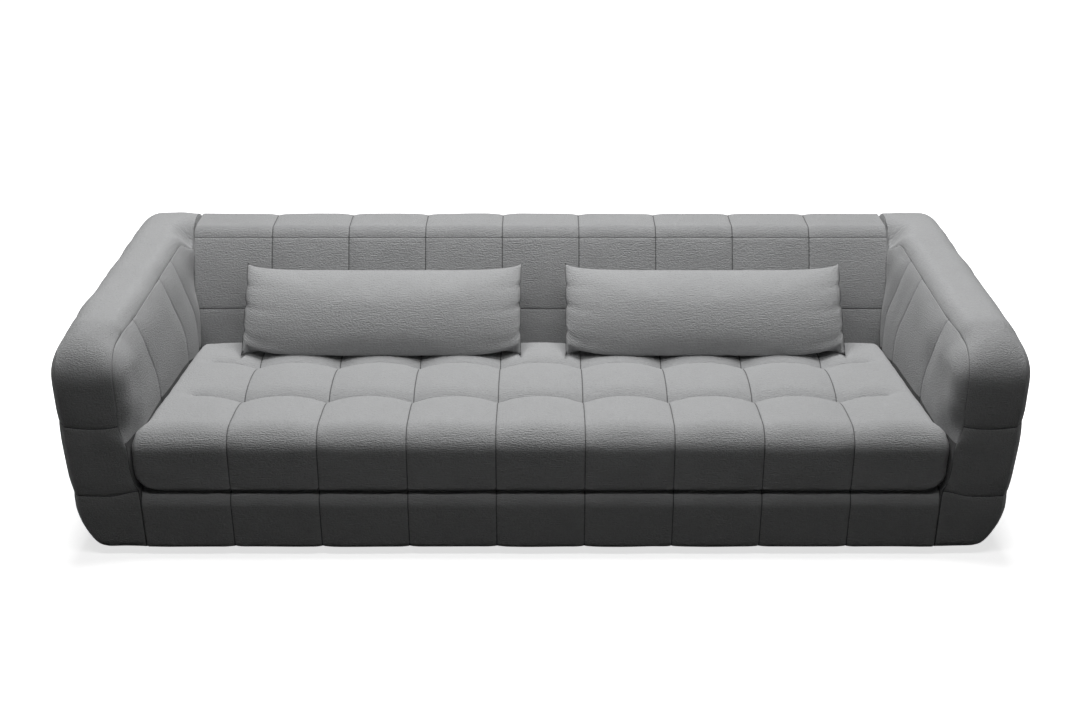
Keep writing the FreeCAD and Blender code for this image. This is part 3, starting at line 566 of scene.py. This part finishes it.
def makeArm(side, name, seed):
    # one arm: a slab with a strip up its front and along its top between two rims, its foot drawn in
    low, high = arm["low"], arm["high"]
    stops = [low[1], *arm["crossSeams"], arm["innerSeam"], arm["outerSeam"], high[1]]
    points, quads, uv = gridBox(arm, [low[0], high[0]], stops, [low[2], *arm["frontSeams"], high[2]])
    x, y, z = points.T
    inner, outer = onAny(x, [low[0]]), onAny(x, [high[0]])
    front, rear, top = onAny(y, [low[1]]), onAny(y, [high[1]]), onAny(z, [high[2]])
    innerCross = onAny(y, [*arm["crossSeams"], arm["innerSeam"]]) & inner
    outerCross = onAny(y, [*arm["crossSeams"], arm["outerSeam"]]) & outer
    girth = onAny(z, arm["frontSeams"]) & (outer | front | rear)
    edge = inner & (front | top | rear)
    upperEdge = edge & (z > arm["rimSeamFoot"])
    # painted shade: the edge and hem groups have no depth and only darken the inner wall's edges
    seams = [(upperEdge & (y < arm["rimSeamEnd"]), *arm["rimSeam"]), (upperEdge, *arm["edgeSeam"]),
             (edge, *arm["hemSeam"]), (outerCross, *arm["crossSeam"]), (innerCross, *arm["faceSeam"]),
             (girth, *arm["frontSeam"])]
    # the inner rim fades out beside the back and below the seat
    corner, cornerHigh, level, levelHigh = arm["mitre"]
    behind = ramp(y, corner - arm["rimFade"], corner)
    tuck = np.maximum(behind, 1 - ramp(z, *arm["tuckRange"]))
    nearInner = x < (low[0] + high[0]) / 2
    topRim = np.where(nearInner, arm["topRim"] * (1 - behind) + arm["leastTopRim"], arm["topRim"])
    innerRim = between(*arm["innerRim"], 1 - ramp(y, *arm["innerRimRange"]))
    across = np.where(nearInner, innerRim * (1 - tuck) + arm["leastRim"], arm["outerRim"])
    points = slab(points, low, high, arm["corners"], across, {**arm["rims"], "top": topRim}, arm["strip"])
    px, py, pz = points.T
    share = (px - low[0]) / (high[0] - low[0])
    # the top comes down to the inner corner and from there follows the round of the back
    climb = np.sqrt(1 - np.clip((level - py) / (level - corner), 0, 1) ** 2)
    ahead = (high[2] - cornerHigh) * ramp(py, corner - arm["pullFade"], corner)
    pull = np.where(py < corner, ahead, high[2] - between(cornerHigh, levelHigh, climb))
    pz -= pull * (1 - ramp(share, 0, arm["pullAcross"])) * ramp(pz, arm["pullFoot"], high[2])
    # beside the end of the seat the wall stands back, down to a fillet on the base
    gapWide, gapFoot, gapRound = arm["gap"]
    gap = gapWide * (1 - shortfall(pz - gapFoot, gapRound)) * (1 - ramp(z, *arm["gapTop"]))
    px += gap * (1 - ramp(py, *arm["gapRear"])) * (1 - share) ** 3
    # the outer side narrows to the foot and the inner wall swells towards the seat
    px -= arm["taper"] * share * (1 - ramp(pz, *arm["taperRange"]))
    swell = ramp(pz, *arm["swellFoot"]) * (1 - ramp(pz, *arm["swellTop"])) * (1 - ramp(y, *arm["swellRear"]))
    px -= arm["swell"] * swell * ramp(y, *arm["swellFront"]) * (1 - share) ** 2
    # the cross seams bend on the inner wall and on the top, the front's seams bow and turn up inside
    bow = 1 - (2 * share - 1) ** 2
    ends = ramp(y, *arm["faceBendFront"]) * ramp(y, *arm["faceBendRear"])
    py += arm["faceBend"] * (1 - share) ** 3 * (1 - ramp(z, *arm["faceBendTop"])) * ends
    py -= arm["topBend"] * bow * top * ramp(y, *arm["topBendFront"]) * ramp(y, *arm["topBendRear"])
    lowBend, highBend = (bell(z, seamHeight, arm["frontBendReach"]) for seamHeight in arm["frontSeams"])
    pz -= arm["frontBend"] * bow * front * highBend
    pz += arm["frontHook"] * (1 - ramp(share, 0, arm["frontHookAcross"])) * lowBend * front
    # the foot is rounded on the outer side and a little at both ends
    roundWide, roundTall = arm["footRound"]
    px -= roundWide * np.clip(2 * share - 1, 0, 1) * shortfall(pz - low[2], roundTall)
    draw = arm["foot"] * shortfall(pz - low[2], arm["foot"])
    py += draw * (ramp(py, -arm["footEnd"], low[1]) - ramp(py, arm["footEnd"], high[1]))
    points, seam = sewn(points, quads, seams, arm, seed)
    px, py, pz = points.T
    # painted shade where the seat and the back cover the inner wall: darker below the seat's line and before
    # the back
    aboveSeat = pz - arm["lining"] + math.tan(seat["rake"]) * (py - low[1])
    aboveSeat += seat["fall"] * ramp(py, seat["rows"][1], seat["high"][1])
    beforeBack = np.where(pz < cornerHigh - arm["shadeStopBelowMitre"], backFace(pz) - arm["shadeBeforeBack"] - py, 1)
    seam = np.where(inner, np.minimum(seam, np.minimum(aboveSeat, beforeBack)), seam)
    px *= side
    if side < 0:
        quads = quads[:, ::-1]
        uv = uv.reshape(-1, 4, 2)[:, ::-1].reshape(-1, 2)
    makePiece(name + "_arm_upholstery", "sofa_frame", (name + "_arm_cover", name + "_arm_foam"),
              points, quads, uv, seam)


# under, touch and top are y and height of the middle's foot, front and top; endUnder and endTop those of
# the short ends
pillow = {"width": 0.860, "tall": 0.300, "cell": 0.0068, "taper": (0.03, 0.06), "start": 0.04,
          "uneven": 0.0015, "unevenScale": 30, "uvShift": 0.7, "fill": 0.75,
          "half": 0.419, "places": (-0.478, 0.494), "under": (0.105, 0.337),
          "touch": (0.030, 0.346), "top": (0.225, 0.546), "rearSwell": 0.085,
          "endUnder": (0.024, 0.350), "endTop": (0.235, 0.566), "pathPoints": (20, 60, 80),
          "plainPowers": (2, 2.5, 0.6), "fullPowers": (6, 0.55), "creases": 0.035,
          "notches": ((-0.45, 0.004), (0.10, 0.0045), (0.52, 0.0035)), "notchWidth": 0.07,
          "notchPower": 10, "pucker": (0.8, 5, 12),
          "cloth": {"quality": 5, "mass": 0.3, "stretch": 25, "shear": 8, "bend": 1.2, "air": 1.2,
                    "pressure": 3.2, "frames": 24}}


def makePillow(index, name, seed):
    # a pillow lofted from its two short ends over a middle outline, with creases from cloth: two sheets sewn
    # round the edge, cut a little narrower at the corners, and blown up
    columns = round(pillow["width"] / pillow["cell"])
    rows = round(pillow["tall"] / pillow["cell"])
    us = np.linspace(-0.5, 0.5, columns + 1) * pillow["width"]
    vs = np.linspace(-0.5, 0.5, rows + 1) * pillow["tall"]
    points, quads, uv = shell(us, np.array([-1.0, 1.0]), vs)
    u, v = points[:, 0] / us[-1], points[:, 2] / vs[-1]
    edge = (np.abs(u) > 1 - 1e-6) | (np.abs(v) > 1 - 1e-6)
    # only the two broad sides are kept, and their edges become one
    quads = quads[np.abs(points[quads][:, :, 1].sum(1)) > 3.5]
    uv = points[quads].reshape(-1, 3)[:, [0, 2]] + [0, pillow["uvShift"]]
    key = np.round(np.where(edge[:, None], points * [1, 0, 1], points) * 1e5).astype(np.int64)
    _, first, same = np.unique(key, axis=0, return_index=True, return_inverse=True)
    quads = same.ravel()[quads]
    points, u, v, edge = points[first], u[first], v[first], edge[first]
    flat = points * [1, 0, 1]
    flat[:, 0] *= 1 - pillow["taper"][0] * v ** 4
    flat[:, 2] *= 1 - pillow["taper"][1] * u ** 6
    # painted shade: the distance to the edge seam darkens the cloth along it
    seam = nearest(flat, flat[edge])
    flat[:, 1] = np.sign(points[:, 1]) * pillow["start"] * (1 - u ** 4) * (1 - v ** 4) * ~edge
    flat[:, 1] += pillow["uneven"] * drift(flat, pillow["unevenScale"], seed)
    shaped = runCloth(name, flat, quads, pillow["cloth"])
    print(name, "flat to blown:", np.round(np.ptp(flat, 0), 3), np.round(np.ptp(shaped, 0), 3))
    # what the cloth adds to a plain swelling are its creases
    tallPower, widePower, endPower = pillow["plainPowers"]
    plain = (1 - v ** tallPower) * (1 - np.abs(u) ** widePower) ** endPower
    crease = (np.abs(shaped[:, 1]) / np.abs(shaped[:, 1]).max() - plain) * pillow["creases"] * ~edge
    # the front outline is a straight underside and a quarter ellipse, the rear a chord swelled by a sine
    under, touch, top = (np.array(pillow[key]) for key in ("under", "touch", "top"))
    straightCount, roundCount, rearCount = pillow["pathPoints"]
    turn = np.linspace(0, np.pi / 2, roundCount)[:, None]
    ellipse = np.array([top[0], touch[1]]) + (top - touch) * np.hstack([-np.cos(turn), np.sin(turn)])
    front = np.concatenate([np.linspace(under, touch, straightCount)[:-1], ellipse])
    w = np.linspace(0, 1, rearCount)[:, None]
    chord = top - under
    outward = np.array([chord[1], -chord[0]]) / np.hypot(*chord)
    rear = under + chord * w + pillow["rearSwell"] * np.sin(np.pi * w) * outward

    def onPath(path):
        # the point of a path at the fraction (v + 1) / 2 of its length
        run = np.concatenate([[0], np.cumsum(np.hypot(*np.diff(path, axis=0).T))])
        return np.stack([np.interp((v + 1) / 2 * run[-1], run, path[:, axis]) for axis in (0, 1)], 1)

    middle = np.where(points[:, 1:2] < 0, onPath(front), onPath(rear))
    end = between(np.array(pillow["endUnder"]), np.array(pillow["endTop"]), (v[:, None] + 1) / 2)
    widePower, endPower = pillow["fullPowers"]
    full = ((1 - np.abs(u) ** widePower) ** endPower)[:, None]
    # the short ends are drawn in at a few puckers that run a little way into the panels
    notch = sum(depth * bell(v, place, pillow["notchWidth"]) for place, depth in pillow["notches"])
    wide = u * (pillow["half"] - notch * np.abs(u) ** pillow["notchPower"])
    puckerShare, innerPower, outerPower = pillow["pucker"]
    crease -= puckerShare * notch * np.abs(u) ** innerPower * (1 - u ** outerPower)
    placed = np.hstack([(pillow["places"][index] + wide)[:, None], between(end, middle, full)])
    placed += normals(placed, quads) * crease[:, None]
    makePiece(name, name, (name + "_front_panel", name + "_back_panel", name + "_filling"),
              placed, quads, uv, seam)


makePillow(0, "left_pillow", 51)
makePillow(1, "right_pillow", 52)
print("pillows made")
makeBase()
makeBack()
makeArm(1, "right", 41)
makeArm(-1, "left", 42)
print("fixed upholstery made")
makeSeat()
print("seat made")


# a lamp is watts, size, place and turn about X and Y in degrees; focal and centre are pixels of the frame
studio = {"camera": (0.0, -3.8152, 2.1901), "tilt": 25.771, "focal": 1421.15, "centre": 540.604,
          "frameWidth": 1080, "sensor": 36, "fill": 0.017,
          "floorHalf": 14, "floorDim": (0.03, 0.03, 0.03), "floorPale": (0.95, 0.95, 0.95),
          "floorGlow": (0.70, 0.30), "floorGlowRange": (1.8, 4.0),
          "lamps": {"overhead": (325, (3.0, 2.6), (0, 1.15, 5.2), (-13, 0)),
                    "front": (27, (3.2, 0.5), (0, -1.35, 3.4), (16, 0)),
                    "left": (7, (0.5, 1.6), (-4, 0, 0.45), (0, -90)),
                    "right": (7, (0.5, 1.6), (4, 0, 0.45), (0, 90))}}


def directRay(wire):
    # 1 for a ray from the camera, off a glossy surface or through glass, else 0
    seen, glossy, through = (wire.node("ShaderNodeLightPath", output=index) for index in (0, 3, 6))
    return wire.math("MAXIMUM", wire.math("MAXIMUM", seen, glossy), through)


def makeCamera(scene):
    # the photograph's camera: pixels of focal length over the frame's width, times the sensor's width
    lens = bpy.data.cameras.new("camera")
    lens.sensor_fit, lens.sensor_width = "HORIZONTAL", studio["sensor"]
    lens.lens = studio["focal"] / studio["frameWidth"] * studio["sensor"]
    lens.shift_x = 0.5 - studio["centre"] / studio["frameWidth"]
    camera = bpy.data.objects.new("camera", lens)
    camera.location = studio["camera"]
    camera.rotation_euler = (math.radians(90 - studio["tilt"]), 0, 0)
    scene.collection.objects.link(camera)
    scene.camera = camera


def makeLight(scene):
    # the lamps, and a world that is white where it is seen and dim where it lights
    for name, (watts, size, place, (aboutX, aboutY)) in studio["lamps"].items():
        lamp = bpy.data.lights.new(name, "AREA")
        lamp.shape, lamp.energy = "RECTANGLE", watts
        lamp.size, lamp.size_y = size
        holder = bpy.data.objects.new(name, lamp)
        holder.location = place
        holder.rotation_euler = (math.radians(aboutX), math.radians(aboutY), 0)
        scene.collection.objects.link(holder)
    world = bpy.data.worlds.new("studio")
    scene.world = world
    world.use_nodes = True
    backdrop = world.node_tree.nodes["Background"]
    backdrop.inputs["Color"].default_value = (1, 1, 1, 1)
    strength = directRay(Wire(world.node_tree)) * (1 - studio["fill"]) + studio["fill"]
    strength.into(backdrop.inputs["Strength"])


def makeFloor(scene):
    # a floor that is pale where it is seen, glows more away from the sofa, and throws little light back
    half = studio["floorHalf"]
    mesh = bpy.data.meshes.new("floor")
    corners = [(-half, -half, 0), (half, -half, 0), (half, half, 0), (-half, half, 0)]
    mesh.from_pydata(corners, [], [(0, 1, 2, 3)])
    floor = bpy.data.objects.new("floor", mesh)
    scene.collection.objects.link(floor)
    material, wire, shader = startFinish("paleFloor")
    direct = directRay(wire)
    tint(wire, studio["floorDim"], studio["floorPale"], direct).into(shader.inputs["Base Color"])
    place = wire.node("ShaderNodeTexCoord", output=3)
    away = wire.node("ShaderNodeVectorMath", {"operation": "LENGTH"}, {0: place}, output=1)
    nearGlow, moreGlow = studio["floorGlow"]
    glow = direct * (nearGlow + moreGlow * limited(wire, away, *studio["floorGlowRange"]))
    tint(wire, (0.0, 0.0, 0.0), (1.0, 1.0, 1.0), glow).into(shader.inputs["Emission Color"])
    setInputs(shader, {"Roughness": 1.0, "Specular IOR Level": 0.0, "Emission Strength": 1.0})
    mesh.materials.append(material)


makeCamera(bpy.context.scene)
makeLight(bpy.context.scene)
bpy.context.scene.view_settings.view_transform = "Standard"
makeFloor(bpy.context.scene)
print("studio made")
